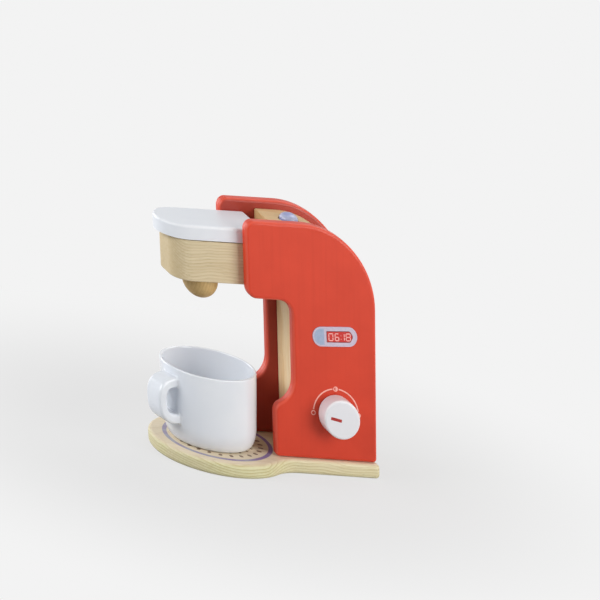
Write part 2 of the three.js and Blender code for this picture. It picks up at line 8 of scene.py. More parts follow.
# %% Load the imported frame
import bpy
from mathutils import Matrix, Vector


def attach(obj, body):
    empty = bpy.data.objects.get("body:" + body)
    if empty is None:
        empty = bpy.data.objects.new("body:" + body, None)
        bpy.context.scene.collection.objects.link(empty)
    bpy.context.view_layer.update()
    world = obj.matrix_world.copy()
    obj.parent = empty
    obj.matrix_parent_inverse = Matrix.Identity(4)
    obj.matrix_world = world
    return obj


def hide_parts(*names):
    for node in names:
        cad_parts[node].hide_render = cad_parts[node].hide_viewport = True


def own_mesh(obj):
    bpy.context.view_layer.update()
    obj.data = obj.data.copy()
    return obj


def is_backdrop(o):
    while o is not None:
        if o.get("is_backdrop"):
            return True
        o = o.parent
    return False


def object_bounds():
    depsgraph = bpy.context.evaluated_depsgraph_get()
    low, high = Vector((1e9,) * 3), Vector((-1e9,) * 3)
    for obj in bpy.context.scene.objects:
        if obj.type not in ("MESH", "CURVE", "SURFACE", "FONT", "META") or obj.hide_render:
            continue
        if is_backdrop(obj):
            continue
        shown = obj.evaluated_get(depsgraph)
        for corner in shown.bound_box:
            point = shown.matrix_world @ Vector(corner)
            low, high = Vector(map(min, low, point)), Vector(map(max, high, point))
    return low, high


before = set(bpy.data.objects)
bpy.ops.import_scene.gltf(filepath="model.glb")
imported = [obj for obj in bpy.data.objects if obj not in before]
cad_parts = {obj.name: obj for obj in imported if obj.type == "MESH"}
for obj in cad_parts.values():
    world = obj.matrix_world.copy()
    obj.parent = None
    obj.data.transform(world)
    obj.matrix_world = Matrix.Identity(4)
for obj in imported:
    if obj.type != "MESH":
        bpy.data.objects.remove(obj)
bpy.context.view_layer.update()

# %% [markdown]
# Blender works in metres and a toy maker in millimetres. Every size below is in millimetres and is turned
# into metres once, when a mesh is written. The sizes are those of the solids, because a piece that replaces a
# solid has to stay where the solid is.

# %% Units and imports
from math import acos, asin, atan2, ceil, copysign, cos, hypot, pi, radians, sin, sqrt, tan

import bmesh
import bpy
from mathutils import Matrix, Vector

MM = 0.001
scene = bpy.context.scene
print("one millimetre is", MM, "of Blender's units")

# %% [markdown]
# ## The camera
# The photograph shows the toy with a slant that no plain camera gives: level lines and upright lines of the
# toy don't meet at right angles in the picture plane. A skewed camera matrix gives that slant. A camera's own
# transform can't be skewed, but the inverse matrix that Blender keeps between a child and its parent can, so
# the camera hangs on an empty and the three skewed axes go there.

# %% Put up the camera
camera_right = (-0.14572363, 0.989294, 0.007875)
camera_up = (-0.7375023, 0.32480279, 0.59210937)
camera_back = (0.88789511, -0.36710851, 0.27726093)
camera_place = (5.00099664, -1.96824352, 1.72478816)
focal_share = 7.738079107  # focal length over sensor width

camera_data = bpy.data.cameras.new("photo_camera")
camera_data.sensor_width = 36
camera_data.lens = camera_data.sensor_width * focal_share
camera_data.clip_end = 20
camera = bpy.data.objects.new("photo_camera", camera_data)
camera_holder = bpy.data.objects.new("camera_holder", None)
scene.collection.objects.link(camera)
scene.collection.objects.link(camera_holder)
camera.parent = camera_holder
camera.matrix_parent_inverse = Matrix((*zip(camera_right, camera_up, camera_back, camera_place), (0, 0, 0, 1)))
scene.camera = camera
print("camera at", [round(v, 2) for v in camera_place], "metres, lens", round(camera_data.lens), "mm")

# %% [markdown]
# ## Light
# Product pictures of toys are lit by large softboxes, so that edges glow and shadows stay soft. Here two panels
# stand in front, left and right, and light the front edges, the lid's nose and the cup from both sides of its
# handle. A third stands behind on the right, where the near side board gets its light but hides the inside of the
# far one, which stays dark as in the photograph. Two weaker ones on the left light the tops and the far side.
# Their powers were found by rendering each panel alone and matching the sum to the photograph. For rays from
# the camera, and for those that a surface mirrors or lets through, the surround is a pale grey, which makes the
# background.

# %% Helpers for shader nodes
def add_node(tree, kind, sockets=None, **settings):
    """Adds a shader node. A socket gets a link if its value is a socket, and a plain value otherwise."""
    node = tree.nodes.new("ShaderNode" + kind)
    for name, value in settings.items():
        setattr(node, name, value)
    for key, value in (sockets or {}).items():
        if isinstance(value, bpy.types.NodeSocket):
            tree.links.new(value, node.inputs[key])
        else:
            node.inputs[key].default_value = value
    return node


def combine(tree, operation, first, second=0.0):
    """A Math node's result."""
    return add_node(tree, "Math", {0: first, 1: second}, operation=operation).outputs[0]


def remap(tree, *values, **settings):
    """Stretches a range of values to another, 0 to 1 if it isn't given, and holds it there."""
    names = ("Value", "From Min", "From Max", "To Min", "To Max")
    return add_node(tree, "MapRange", dict(zip(names, values)), **settings).outputs[0]


def seen_directly(tree):
    """1 for rays from the camera, mirrored ones and those through clear things, 0 for the light that falls."""
    path = add_node(tree, "LightPath")
    mirror_rays = combine(tree, "MAXIMUM", path.outputs["Is Glossy Ray"], path.outputs["Is Transmission Ray"])
    return combine(tree, "MAXIMUM", path.outputs["Is Camera Ray"], mirror_rays)


def output_mix(tree, output, share, first, second):
    """Sends a mix of two shader nodes to an output."""
    mix = add_node(tree, "MixShader", {0: share, 1: first.outputs[0], 2: second.outputs[0]})
    add_node(tree, output, {"Surface": mix.outputs[0]})


# %% Surround and softboxes
surround_level = 0.03
pale_grey = (0.896, 0.896, 0.896, 1)
world = bpy.data.worlds.new("white_surround")
world.use_nodes = True
scene.world = world
surround = world.node_tree
surround.nodes.clear()
even_light = add_node(surround, "Background", {"Color": (1, 1, 1, 1), "Strength": surround_level})
backdrop = add_node(surround, "Background", {"Color": pale_grey, "Strength": 1})
output_mix(surround, "OutputWorld", seen_directly(surround), even_light, backdrop)

lit_middle = Vector((0, 0.05, 0.12))
white, cool_white, warm_white = (1, 1, 1), (0.98, 0.99, 1.0), (1.0, 0.985, 0.96)
for name, place, size, watts, tint in (
    ("front_left_softbox", (-0.3, -1.35, 1.05), 0.75, 9, cool_white),
    ("front_right_softbox", (0.45, -1.4, 1.0), 0.75, 13, cool_white),
    ("rear_right_softbox", (1.16, 0.95, 0.55), 1.05, 20, warm_white),
    ("rear_left_softbox", (-0.5, 0.9, 1.4), 0.8, 8, white),
    ("left_softbox", (-1.3, -0.75, 0.5), 0.9, 7, white),
):
    light = bpy.data.lights.new(name, "AREA")
    light.size, light.energy, light.color = size, watts, tint
    lamp = bpy.data.objects.new(name, light)
    scene.collection.objects.link(lamp)
    beam = lit_middle - Vector(place)
    lamp.location, lamp.rotation_euler = place, beam.to_track_quat("-Z", "Y").to_euler()
    print(name, watts, "W at", round(beam.length, 2), "m")

# %% [markdown]
# ## The floor
# A pale floor keeps the toy's soft shadow. Near the toy a quarter of the floor's own light shows, so the shadow
# is as faint as in the photograph. Far away the floor has to run into the background with no horizon, so there
# it shows the background's grey alone. The distance from the toy decides that, and only for the rays that see
# the floor directly, so that no extra light comes from it.

# %% Lay the floor
floor_reach = 3.0
floor_mesh = bpy.data.meshes.new("studio_floor")
corners = [(-1, -1, 0), (1, -1, 0), (1, 1, 0), (-1, 1, 0)]
floor_mesh.from_pydata([Vector(c) * floor_reach for c in corners], [], [(0, 1, 2, 3)])
floor = bpy.data.objects.new("studio_floor", floor_mesh)
scene.collection.objects.link(floor)
floor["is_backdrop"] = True

blend_start, blend_end, backdrop_share_near = 0.16, 0.5, 0.75
floor_paper = bpy.data.materials.new("floor_paper")
floor_paper.use_nodes = True
paper = floor_paper.node_tree
paper.nodes.clear()
paper_light = add_node(paper, "BsdfDiffuse", {"Color": (0.5, 0.5, 0.5, 1)})
backdrop_paper = add_node(paper, "Emission", {"Color": pale_grey, "Strength": 1})
floor_place = add_node(paper, "NewGeometry").outputs["Position"]
floor_distance = add_node(paper, "VectorMath", {0: floor_place}, operation="LENGTH").outputs["Value"]
far_share = remap(paper, floor_distance, blend_start, blend_end, backdrop_share_near, interpolation_type="SMOOTHSTEP")
backdrop_share = combine(paper, "MULTIPLY", far_share, seen_directly(paper))
output_mix(paper, "OutputMaterial", backdrop_share, paper_light, backdrop_paper)
floor_mesh.materials.append(floor_paper)
scene.view_settings.view_transform = "Standard"
print("floor", 2 * floor_reach, "m across")

# %% [markdown]
# ## Outlines
# Nearly every piece of this toy is a board cut on a bandsaw: an outline of straight lines and arcs. A modeller
# could draw it as a curve, but then the inset of its rounded edges would be left to guesswork. Here each point
# of an outline is kept with the direction that points out of the wood, so an edge can be eased exactly.

# %% Arcs and rounded outlines
def arc_run(centre_u, centre_v, radius, start, end, clockwise=False, step=radians(4)):
    """Points along an arc, each with its outward direction. Outlines run anticlockwise, hollows clockwise."""
    sweep = (end - start) % (2 * pi)
    if clockwise:
        sweep -= 2 * pi
    count = max(2, ceil(abs(sweep) / step))
    outward = -1 if clockwise else 1
    run = []
    for i in range(count + 1):
        angle = start + sweep * i / count
        ray = Vector((cos(angle), sin(angle)))
        run.append((Vector((centre_u, centre_v)) + radius * ray, outward * ray))
    return run


def quarter_turn(steps):
    """Even angles from none to a right angle."""
    return [pi / 2 * i / steps for i in range(steps + 1)]


def rounded_outline(corners):
    """An outline through corners given as (u, v, radius)."""
    run = []
    for i, (u, v, radius) in enumerate(corners):
        corner = Vector((u, v))
        before = (Vector(corners[i - 1][:2]) - corner).normalized()
        after = (Vector(corners[(i + 1) % len(corners)][:2]) - corner).normalized()
        half = acos(before.dot(after)) / 2
        centre = corner + (before + after).normalized() * radius / sin(half)
        start = corner + before * radius / tan(half) - centre
        end = corner + after * radius / tan(half) - centre
        hollow = before.x * after.y - before.y * after.x > 0
        run += arc_run(*centre, radius, atan2(start.y, start.x), atan2(end.y, end.x), hollow)
    return run


def rectangle(low_u, low_v, high_u, high_v, radius):
    """An upright rectangle with rounded corners."""
    places = ((low_u, low_v), (high_u, low_v), (high_u, high_v), (low_u, high_v))
    return rounded_outline([(u, v, radius) for u, v in places])


def circle(centre_u, centre_v, radius, step):
    """A full circle. A sweep of exactly one turn would count as none, so it stops just short."""
    return arc_run(centre_u, centre_v, radius, 0, 2 * pi - 0.0001, step=step)[:-1]


print("a circle in steps of 4 degrees has", len(circle(0, 0, 1, radians(4))), "points")

# %% [markdown]
# ## Boards with eased edges
# A router or a sanding drum rounds the edges of the real boards. A bevel modifier could do that, but it breaks
# where a narrow edge meets a hollow. So a board is built from rings: the outline is repeated from one face
# to the other, drawn in by a quarter circle at each face. The two faces are single polygons.

# %% Build a board
def link_mesh(name, work):
    """Writes a bmesh in millimetres to a new object, in metres."""
    bmesh.ops.remove_doubles(work, verts=work.verts, dist=1e-4)
    bmesh.ops.recalc_face_normals(work, faces=work.faces)
    bmesh.ops.scale(work, vec=(MM, MM, MM), verts=work.verts)
    mesh = bpy.data.meshes.new(name)
    work.to_mesh(mesh)
    work.free()
    piece = bpy.data.objects.new(name, mesh)
    scene.collection.objects.link(piece)
    return piece


def skin(work, rings, hoop=False):
    """Puts quads along a stack of rings. A hoop's last ring joins its first, others get a polygon at each end."""
    rows = [[work.verts.new(point) for point in ring] for ring in rings]
    for here, there in zip(rows, rows[1:] + (rows[:1] if hoop else [])):
        for i in range(len(here)):
            after = (i + 1) % len(here)
            work.faces.new((here[i], here[after], there[after], there[i]))
    if not hoop:
        work.faces.new(list(reversed(rows[0])))
        work.faces.new(rows[-1])


def flat(u, v, height):
    """A board that lies: its outline in X and Y."""
    return (u, v, height)


def on_edge(u, v, height):
    """A board that stands on edge: its outline in Y and Z, and X across the board."""
    return (height, u, v)


def add_board(work, outline, low, high, low_edge, high_edge, lay=flat, steps=6):
    """Adds a board from one height to another to a bmesh, with its own easing at each face."""
    quarter = quarter_turn(steps)
    levels = [(low_edge * (1 - sin(t)), low + low_edge * (1 - cos(t))) for t in quarter]
    levels += [(high_edge * (1 - sin(t)), high - high_edge * (1 - cos(t))) for t in reversed(quarter)]
    skin(work, [[lay(*(point - inset * out), height) for point, out in outline] for inset, height in levels])


def board(name, outline, low, high, low_edge, high_edge=None, lay=flat, steps=6):
    """One board as an object."""
    work = bmesh.new()
    add_board(work, outline, low, high, low_edge, low_edge if high_edge is None else high_edge, lay, steps)
    return link_mesh(name, work)


def add_plate(work, outline, low, high, lay=on_edge):
    """Adds a board with crisp edges to a bmesh."""
    add_board(work, outline, low, high, 0.0, 0.0, lay, 1)


def plate(name, outline, low, high):
    """One board on edge with crisp edges as an object."""
    return board(name, outline, low, high, 0.0, lay=on_edge, steps=1)


def turned(name, profile, steps, place=(0, 0, 0)):
    """A piece from the lathe, from (radius, height) points that start and end on the axis."""
    work = bmesh.new()
    angles = [2 * pi * i / steps for i in range(steps)]
    rings = [[work.verts.new((radius * cos(a), radius * sin(a), height)) for a in angles]
             for radius, height in profile[1:-1]]
    first = work.verts.new((0, 0, profile[0][1]))
    last = work.verts.new((0, 0, profile[-1][1]))
    for i in range(steps):
        after = (i + 1) % steps
        work.faces.new((first, rings[0][after], rings[0][i]))
        work.faces.new((last, rings[-1][i], rings[-1][after]))
        for lower, upper in zip(rings, rings[1:]):
            work.faces.new((lower[i], lower[after], upper[after], upper[i]))
    bmesh.ops.translate(work, vec=place, verts=work.verts)
    return link_mesh(name, work)


def drill_bit(radius, low, high, place, lay=flat):
    """A round cutter with a crisp edge."""
    ring = circle(0, 0, radius, 2 * pi / 64)
    work = bmesh.new()
    skin(work, [[lay(point.x + place[0], point.y + place[1], height) for point, _ in ring] for height in (low, high)])
    return link_mesh("drill_bit", work)


def carve(piece, tool, operation="DIFFERENCE"):
    """Cuts a tool out of a piece, or joins or intersects the two, and throws the tool away."""
    modifier = piece.modifiers.new("carve", "BOOLEAN")
    modifier.operation, modifier.solver, modifier.object = operation, "EXACT", tool
    depsgraph = bpy.context.evaluated_depsgraph_get()
    carved = bpy.data.meshes.new_from_object(piece.evaluated_get(depsgraph))
    piece.modifiers.clear()
    piece.data = carved
    bpy.data.objects.remove(tool)


print("the board, lathe and drill helpers are ready")

# %% [markdown]
# ## Dressing a piece
# Flat boards with rounded edges shade badly if every face is smooth, because the big faces then bend towards
# the edge. Marking true corners as sharp and weighting the normals by face size keeps faces flat and edges
# round. The same helper hangs the piece on its moving body and hides the imported solids that it stands for.

# %% Dress a piece
def dress(piece, finish, body, slot, *nodes, crease=32):
    """Smooth shading, finish and body, and hides the solids that the piece stands for. The slot is not used."""
    mesh = piece.data
    mesh.materials.clear()
    mesh.materials.append(finish)
    mesh.shade_smooth()
    mesh.set_sharp_from_angle(angle=radians(crease))
    piece.modifiers.new("even_shading", "WEIGHTED_NORMAL").keep_sharp = True
    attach(piece, body)
    if nodes:
        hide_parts(*nodes)
    size = [round(v * 1000, 1) for v in piece.dimensions]
    print(piece.name, "is", size, "mm and has", len(mesh.polygons), "faces")


# %% [markdown]
# ## Plain wood
# The base, the head, the spout, the column, the rear board and the top block are plain wood under a matt clear
# lacquer. Wood is a solid that was cut, so its figure has to run through the block: lines on the long side, arcs
# on the end. A texture of rings round the tree's heart does that when it is fed with the object's own
# coordinates. Long thin fibres come from noise that is stretched along the grain, and short dark pores from a
# finer one. An image of wood would be quicker, but it would wrap round the block instead of running through it.

# %% Colours as a painter names them
def colour(red, green, blue):
    """A colour given in the 0 to 255 numbers of a screen, as the linear values that a shader takes."""
    linear = [((v / 255 + 0.055) / 1.055) ** 2.4 if v > 10 else v / 255 / 12.92 for v in (red, green, blue)]
    return (*linear, 1)


def new_finish(name, **sockets):
    """A material with constant values on its shader's own sockets, and where and how its faces lie."""
    finish = bpy.data.materials.new(name)
    finish.use_nodes = True
    tree = finish.node_tree
    shader = tree.nodes["Principled BSDF"]
    for key, value in sockets.items():
        shader.inputs[key.replace("_", " ")].default_value = value
    coordinates = add_node(tree, "TexCoord").outputs
    return finish, tree, shader, coordinates["Object"], coordinates["Normal"]


def mix_colours(tree, share, first, second):
    """A Mix node for colours, and its result."""
    return add_node(tree, "Mix", {0: share, 6: first, 7: second}, data_type="RGBA").outputs[2]


def layered(tree, tone, layers):
    """Lays colours over a first one, each given with its share."""
    for share, cover in layers:
        tone = mix_colours(tree, share, tone, cover)
    return tone


def dot(tree, first, second):
    """The dot product of two vectors."""
    return add_node(tree, "VectorMath", {0: first, 1: second}, operation="DOT_PRODUCT").outputs["Value"]


def noise_of(tree, vector, stretch, detail=3.0, roughness=0.55):
    """Noise with so many features per metre along each axis."""
    scaled = add_node(tree, "VectorMath", {0: vector, 1: stretch}, operation="MULTIPLY").outputs[0]
    sockets = {"Vector": scaled, "Scale": 1.0, "Detail": detail, "Roughness": roughness}
    return add_node(tree, "TexNoise", sockets).outputs["Fac"]


def feed_shader(tree, shader, tone, roughness, relief, depth, strength):
    """Sends a colour, a roughness and a relief to the shader. The relief's depth is in millimetres."""
    bump = add_node(tree, "Bump", {"Height": relief, "Distance": depth * MM, "Strength": strength})
    for key, value in (("Base Color", tone), ("Roughness", roughness), ("Normal", bump.outputs[0])):
        tree.links.new(value, shader.inputs[key])


# %% Wood
WAVE_WIDTH = 0.314  # metres: a ring of the wave texture at scale 1
BEND = (0.012, 0.012, 0.0)  # metres: how far the rings stray from round
FIBRES, PORES, PATCHES = (520, 520, 11), (1900, 1900, 75), (38, 38, 5)  # per metre, the last one along the grain
EARLY_WOOD, LATE_WOOD = 0.1, ((0.55, 0.3), (0.88, 1.0))  # how dark, and for late wood from where in the year


def wood_finish(name, tones, along, heart, ring_width, ring_depth=0.55, fibre_depth=0.4, tint_share=0.4,
                end_share=0.5, top_share=0.0):
    """Solid wood with rings, fibres and pores, under a matt lacquer, in a pale tone, a dark one and a tint. End
    grain is darker, and a sanded top may be paler."""
    finish, tree, shader, place, normal = new_finish(
        name, Specular_IOR_Level=0.35, Coat_Weight=0.12, Coat_Roughness=0.38)
    pale, dark, tint = (colour(*tone) for tone in tones)
    # turned so that the grain runs along Z, and measured from the tree's heart
    turn = Vector(along).rotation_difference(Vector((0, 0, 1)))
    sockets = {"Vector": place, "Rotation": turn.to_euler(), "Location": -(turn @ (Vector(heart) * MM))}
    place = add_node(tree, "Mapping", sockets).outputs[0]
    end_facing = combine(tree, "ABSOLUTE", dot(tree, normal, Vector(along).normalized()))
    warp = add_node(tree, "TexNoise", {"Vector": place, "Scale": 14.0, "Detail": 2.0}).outputs["Color"]
    bent = add_node(tree, "VectorMath", {0: warp, 1: BEND, 2: place}, operation="MULTIPLY_ADD").outputs[0]
    sockets = {"Vector": bent, "Scale": WAVE_WIDTH / (ring_width * MM), "Distortion": 2.2, "Detail": 2.0,
               "Detail Scale": 0.12}
    rings = add_node(tree, "TexWave", sockets, wave_type="RINGS", rings_direction="Z", wave_profile="SAW")
    year = add_node(tree, "ValToRGB", {"Fac": rings.outputs["Fac"]})
    stops = year.color_ramp.elements
    for stop in stops:
        stop.color = (EARLY_WOOD, EARLY_WOOD, EARLY_WOOD, 1)
    for position, level in LATE_WOOD:
        stops.new(position).color = (level, level, level, 1)
    ring_tone = year.outputs["Color"]
    fibres = noise_of(tree, bent, FIBRES, 5.0, 0.62)
    pores = remap(tree, noise_of(tree, bent, PORES, 2.0), 0.6, 0.72)
    patches = noise_of(tree, place, PATCHES, 2.0)
    layers = [
        (combine(tree, "MULTIPLY", ring_tone, ring_depth), dark),
        (remap(tree, patches, 0.38, 0.66, 0.0, tint_share), tint),
        (remap(tree, fibres, 0.36, 0.74, 0.0, fibre_depth), dark),
        (remap(tree, end_facing, 0.35, 0.8, 0.0, end_share), dark),
    ]
    if top_share:
        layers.append((remap(tree, dot(tree, normal, (0, 0, 1)), 0.5, 1, 0.0, top_share), tint))
    layers.append((combine(tree, "MULTIPLY", pores, 0.3), (*(0.45 * v for v in dark[:3]), 1)))
    relief = combine(tree, "SUBTRACT", combine(tree, "ADD", fibres, combine(tree, "MULTIPLY", ring_tone, 0.4)), pores)
    feed_shader(tree, shader, layered(tree, pale, layers), remap(tree, fibres, 0.3, 0.7, 0.5, 0.64), relief, 0.06, 0.6)
    return finish


base_wood = wood_finish(
    "pale_base_wood", ((230, 228, 190), (184, 168, 100), (226, 208, 186)),
    (0, 1, 0), (12, 0, -190), 2.7, 0.75, 0.35, end_share=0.05, top_share=0.7)
head_wood = wood_finish(
    "tan_head_wood", ((222, 208, 176), (180, 156, 110), (210, 188, 150)),
    (0, 1, 0.05), (-95, 0, 60), 2.2, 0.5, 0.45, end_share=0.35)
spout_wood = wood_finish(
    "golden_spout_wood", ((208, 178, 122), (174, 136, 78), (196, 162, 100)),
    (0, 0.25, 1), (26, 18, 170), 3.4, 0.35, 0.3)
pine_wood = wood_finish(
    "golden_pine_wood", ((255, 244, 220), (222, 186, 124), (244, 212, 156)),
    (0, 0.04, 1), (-22, 170, 0), 6.5, 0.7, 0.4, 0.6)
top_wood = wood_finish(
    "pale_pine_wood", ((226, 200, 156), (196, 152, 98), (210, 174, 122)),
    (0, 1, 0), (-34, 0, 120), 5.0, 0.5, 0.35, 0.5)
dowel_birch = wood_finish(
    "birch_dowel_wood", ((226, 206, 164), (196, 168, 118), (220, 196, 150)),
    (1, 0, 0), (0, 0, -60), 2.4)
print("wood finishes:", [m.name for m in bpy.data.materials if "wood" in m.name])

# %% [markdown]
# ## Paint on wood
# The side boards, the lid, the knob and the button are sprayed. Paint is not a flat colour: it lets the grain
# below show as very shallow streaks, and it has the fine ripple that spraying leaves. A rounded edge gets a
# lighter tone, a painted highlight. The object's own normal says where the edge is, because a face of these
# boards looks along X or Z and an edge doesn't. The side boards turn deeper towards the back and the bottom,
# which is painted shade, and the faces that look at each other get a darker, duller tone, painted shade between
# the boards. They could be pieces of their own, but a normal that points back towards the middle of the toy
# finds them without cutting the board.

# %% Paint
# Painted shade: the faces of the side boards that look at each other get a darker, duller tone.
INWARD_SHADE = (-0.02, -0.034)  # a normal's X times its place's X, in metres, where the inner tone starts and is full


def paint_finish(name, tones, face_axis, along, roughness, gloss, grain=0.05, shade_slope=(0, 0, 0), inner=None):
    """Sprayed paint over wood, in a base tone, a deep one and a lighter one for edges, a painted highlight. The broad
    faces look along the face axis. Along the shade slope it turns deeper, painted shade. The inner tone is painted
    shade on faces that look back towards the middle."""
    finish, tree, shader, place, normal = new_finish(
        name, Specular_IOR_Level=0.3, Coat_Weight=gloss, Coat_Roughness=0.22)
    base, deep, edge = (colour(*tone) for tone in tones)
    clouds = noise_of(tree, place, (26, 26, 26), 3.0)
    streaks = noise_of(tree, place, [8 if part else 240 for part in along], 4.0, 0.6)
    ripple = noise_of(tree, place, (1100, 1100, 1100), 1.0)
    facing = combine(tree, "ABSOLUTE", dot(tree, normal, face_axis))
    # painted highlight: rounded edges get the lighter edge tone
    edge_highlight = combine(tree, "MULTIPLY", remap(tree, facing, 0.1, 0.5), remap(tree, facing, 0.98, 0.8))
    # painted shade: the paint deepens along the shade slope
    slope_shade = remap(tree, dot(tree, place, shade_slope), -0.5, 0.5)
    layers = [
        (combine(tree, "ADD", remap(tree, clouds, 0.34, 0.68, -0.15, 0.15), slope_shade), deep),
        (remap(tree, streaks, 0.5, 0.75, 0.0, 0.3), deep),
        (combine(tree, "MULTIPLY", edge_highlight, 0.55), edge),
    ]
    # painted shade between the side boards, on faces whose normal points back towards the middle
    if inner:
        sides = [dot(tree, each, (1, 0, 0)) for each in (normal, place)]
        layers.append((remap(tree, combine(tree, "MULTIPLY", *sides), *INWARD_SHADE), colour(*inner)))
    wear = combine(tree, "ADD", remap(tree, clouds, 0.3, 0.7, -0.04, 0.05), remap(tree, ripple, 0.3, 0.7, -0.02, 0.02))
    relief = combine(tree, "ADD", combine(tree, "MULTIPLY", ripple, 0.35), streaks)
    feed_shader(tree, shader, layered(tree, base, layers), combine(tree, "ADD", wear, roughness), relief, grain, 0.7)
    return finish


# The red paint's shade slope darkens it towards the back and the bottom, which is painted shade.
red_paint = paint_finish(
    "orange_red_paint", ((220, 68, 40), (196, 54, 28), (232, 100, 80)),
    (1, 0, 0), (0, 0, 1), 0.42, 0.08, shade_slope=(0, 1.6, -1.2), inner=(154, 64, 56))
lid_paint = paint_finish(
    "white_lid_paint", ((232, 235, 240), (224, 228, 235), (242, 243, 246)),
    (0, 0, 1), (0, 1, 0), 0.36, 0.25)
knob_paint = paint_finish(
    "white_knob_paint", ((232, 232, 236), (224, 226, 232), (242, 240, 240)),
    (1, 0, 0), (0, 1, 0), 0.34, 0.25, 0.03)
button_paint = paint_finish(
    "blue_grey_button_paint", ((146, 154, 200), (132, 140, 190), (196, 202, 222)),
    (0, 0, 1), (0, 0, 0), 0.35, 0.5, 0.02)
print("paint finishes:", [m.name for m in bpy.data.materials if "paint" in m.name])

# %% [markdown]
# ## Plastic, printed film, ink and steel
# The cup is glossy moulded plastic, so it needs sharp highlights that waver a little where the mould isn't
# perfectly smooth. The film and the inks are thin prints that lie slightly unevenly. The hidden hardware is
# zinc-plated steel.

# %% Plastic, film, ink and steel
def print_finish(name, ink, faded, roughness=0.45, patch=420, shade_drift=(0, 0, 0)):
    """Screen-printed ink that lies a little unevenly, with so many patches per metre. Along the shade drift it turns
    to the paler tone: the tray ring's darker back, where it runs under the body, is painted shade.
    """
    finish, tree, shader, place, _ = new_finish(name, Specular_IOR_Level=0.4)
    patches = noise_of(tree, place, (patch, patch, patch), 4.0, 0.65)
    share = combine(tree, "ADD", remap(tree, patches, 0.42, 0.72), dot(tree, place, shade_drift))
    tone = mix_colours(tree, remap(tree, share, 0.0, 1.0), colour(*ink), colour(*faded))
    sheen = remap(tree, patches, 0.3, 0.7, roughness - 0.08, roughness + 0.08)
    feed_shader(tree, shader, tone, sheen, patches, 0.01, 0.5)
    return finish


# moulded plastic with flow clouds and a faint waviness
cup_plastic, tree, shader, place, _ = new_finish(
    "glossy_white_plastic", Specular_IOR_Level=0.5, Coat_Weight=0.5, Coat_Roughness=0.06, IOR=1.49)
clouds = noise_of(tree, place, (22, 22, 14), 2.0)
haze = noise_of(tree, place, (160, 160, 160), 3.0)
tone = mix_colours(tree, remap(tree, clouds, 0.35, 0.68), colour(233, 237, 243), colour(227, 232, 240))
waves = combine(tree, "ADD", clouds, combine(tree, "MULTIPLY", haze, 0.01))
feed_shader(tree, shader, tone, remap(tree, haze, 0.3, 0.7, 0.2, 0.26), waves, 0.2, 0.4)

label_film = print_finish("mottled_label_film", (164, 178, 204), (142, 164, 192), 0.35, 330)
rim_ink = print_finish("silver_rim_ink", (206, 192, 208), (188, 180, 202), 0.35)
window_ink = print_finish("red_window_ink", (208, 50, 44), (186, 44, 42), 0.25)
window_edge_ink = print_finish("dark_window_ink", (140, 52, 50), (112, 44, 48), 0.3)
digit_ink = print_finish("pink_digit_ink", (248, 190, 184), (240, 164, 158), 0.4)
colon_ink = print_finish("dim_colon_ink", (220, 120, 108), (206, 98, 88), 0.4)
dial_ink = print_finish("pale_dial_ink", (244, 184, 172), (236, 160, 148))
dash_ink = print_finish("dark_red_ink", (176, 44, 36), (152, 36, 34))
# painted shade: the tray ring stays darker and more violet towards the back, under the body
ring_ink = print_finish("grey_violet_ring_ink", (132, 110, 156), (166, 166, 178), 0.5, 60, (0, -9, 0))
mark_ink = print_finish("brown_mark_ink", (116, 88, 72), (146, 124, 100), 0.5, 130)

# zinc-plated steel: bright, with fine scratches and duller patches
steel, tree, shader, place, _ = new_finish("zinc_plated_steel", Metallic=1.0)
patches = noise_of(tree, place, (240, 240, 240), 4.0)
scratches = noise_of(tree, place, (300, 2600, 2600), 2.0)
tone = mix_colours(tree, patches, colour(196, 198, 202), colour(168, 170, 176))
feed_shader(tree, shader, tone, remap(tree, scratches, 0.3, 0.7, 0.22, 0.42), scratches, 0.01, 0.6)
print(len(bpy.data.materials), "materials in all")

# %% [markdown]
# ## The base board
# The cup stands on a round tray that runs back under the body through two hollow curves. It could be a circle
# joined to a rectangle, but the hollows are what the eye follows, so the outline is drawn with them. Six
# countersunk screws come up through it, and their holes show when the toy is picked up.

# %% Base board
base_thickness = 15
standing = base_thickness + 0.3  # where everything that stands on the base starts
disc_radius, base_half, base_back = 74.85, 47, 168.8
neck_radius, base_corner, base_edge = 45, 5, 4.2
neck_u = base_half + neck_radius
neck_v = sqrt((disc_radius + neck_radius) ** 2 - neck_u ** 2)
neck_turn = atan2(neck_v, neck_u)
corner_u, corner_v = base_half - base_corner, base_back - base_corner
base_outline = [
    *arc_run(0, 0, disc_radius, pi - neck_turn, neck_turn, step=radians(2.5)),
    *arc_run(neck_u, neck_v, neck_radius, pi + neck_turn, pi, clockwise=True),
    *arc_run(corner_u, corner_v, base_corner, 0, pi / 2, step=radians(15)),
    *arc_run(-corner_u, corner_v, base_corner, pi / 2, pi, step=radians(15)),
    *arc_run(-neck_u, neck_v, neck_radius, 0, -neck_turn, clockwise=True),
]
base_board = board("base_board_piece", base_outline, 0, base_thickness, base_edge, steps=8)

sink_radius, hole_radius, sink_rim, sink_foot = 4.2, 2.1, 0.6, 3.2
sink = [(0, -1), (sink_radius, -1), (sink_radius, sink_rim), (hole_radius, sink_foot),
        (hole_radius, base_thickness + 1), (0, base_thickness + 1)]
for u, v in ((36, 71.5), (36, 151), (-36, 71.5), (-36, 151), (0, 92.3), (0, 153.8)):
    carve(base_board, turned("screw_sink", sink, 32, (u, v, 0)))
dress(base_board, base_wood, "frame", "base_wood", "base_board")

# %% [markdown]
# ## The side boards
# One outline makes both sides: a big round crown at the back, a nose that holds the head, a rounded armpit
# under it, and a soft instep over the foot. The board is 12 mm thick and its edges are rounded over by 3.5 mm,
# which is why the photograph shows a bright line along them.

